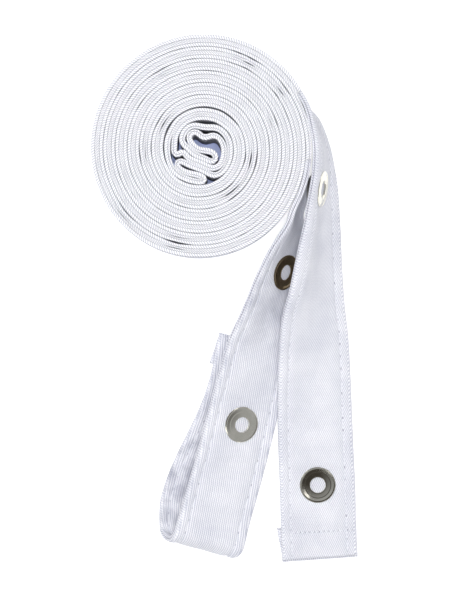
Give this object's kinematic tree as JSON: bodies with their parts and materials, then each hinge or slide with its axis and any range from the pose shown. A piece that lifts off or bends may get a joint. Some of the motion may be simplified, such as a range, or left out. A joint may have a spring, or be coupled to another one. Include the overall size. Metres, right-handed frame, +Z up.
{
  "type": "martial arts belt",
  "caption": "Rolled cotton martial arts belt: a wound double-ply strap with ring snap fasteners, one hemmed end and one end folded under.",
  "frame": {"origin": "centre of the underside of the whole object's box, on the surface the roll stands on", "axes": "+Z up along the roll's axis, -Y the way the two ends run out from the roll, +X to the right of the ends seen from above"},
  "size_m": [0.1324, 0.2614, 0.0382],
  "materials": {
    "twill_face": "bleached white cotton twill, matt",
    "twill_back": "bleached white cotton twill, matt",
    "sewing_thread": "white polyester thread, slight sheen",
    "snap_metal": "polished nickel plate",
    "spring_wire": "drawn steel wire"
  },
  "bodies": {
    "belt_roll": {"roll_front_ply": "twill_face", "roll_back_ply": "twill_back", "roll_seam_threads": "sewing_thread", "front_lead_face_ply": "twill_face", "front_lead_back_ply": "twill_back", "front_lead_seam_threads": "sewing_thread", "front_lead_prong_ring": "snap_metal", "front_lead_socket": "snap_metal", "front_lead_socket_spring": "spring_wire", "rear_lead_face_ply": "twill_face", "rear_lead_back_ply": "twill_back", "rear_lead_seam_threads": "sewing_thread", "rear_upper_prong_ring": "snap_metal", "rear_upper_stud": "snap_metal", "rear_lower_prong_ring": "snap_metal", "rear_lower_stud": "snap_metal", "rear_return_face_ply": "twill_face", "rear_return_back_ply": "twill_back", "rear_return_seam_threads": "sewing_thread", "rear_hem_flap": "twill_back", "rear_hem_thread": "sewing_thread"},
    "front_end": {"front_tip_face_ply": "twill_face", "front_tip_back_ply": "twill_back", "front_tip_seam_threads": "sewing_thread", "front_tip_prong_ring": "snap_metal", "front_tip_socket": "snap_metal", "front_tip_socket_spring": "spring_wire", "front_hem_flap": "twill_back", "front_hem_thread": "sewing_thread"},
    "rear_end": {"rear_fold_face_ply": "twill_face", "rear_fold_back_ply": "twill_back", "rear_fold_seam_threads": "sewing_thread"}
  },
  "joints": [
    {"name": "front_end_lift", "type": "hinge", "parent": "belt_roll", "child": "front_end", "pos_m": [0.0448, -0.03926, 0.00892], "axis": [-0.9693, -0.0061, 0.2459], "range_deg": [0, 75]},
    {"name": "rear_end_lift", "type": "hinge", "parent": "belt_roll", "child": "rear_end", "pos_m": [0.00231, -0.0836, 0.01424], "axis": [-0.8765, 0.2529, 0.4097], "range_deg": [0, 45]}
  ]
}
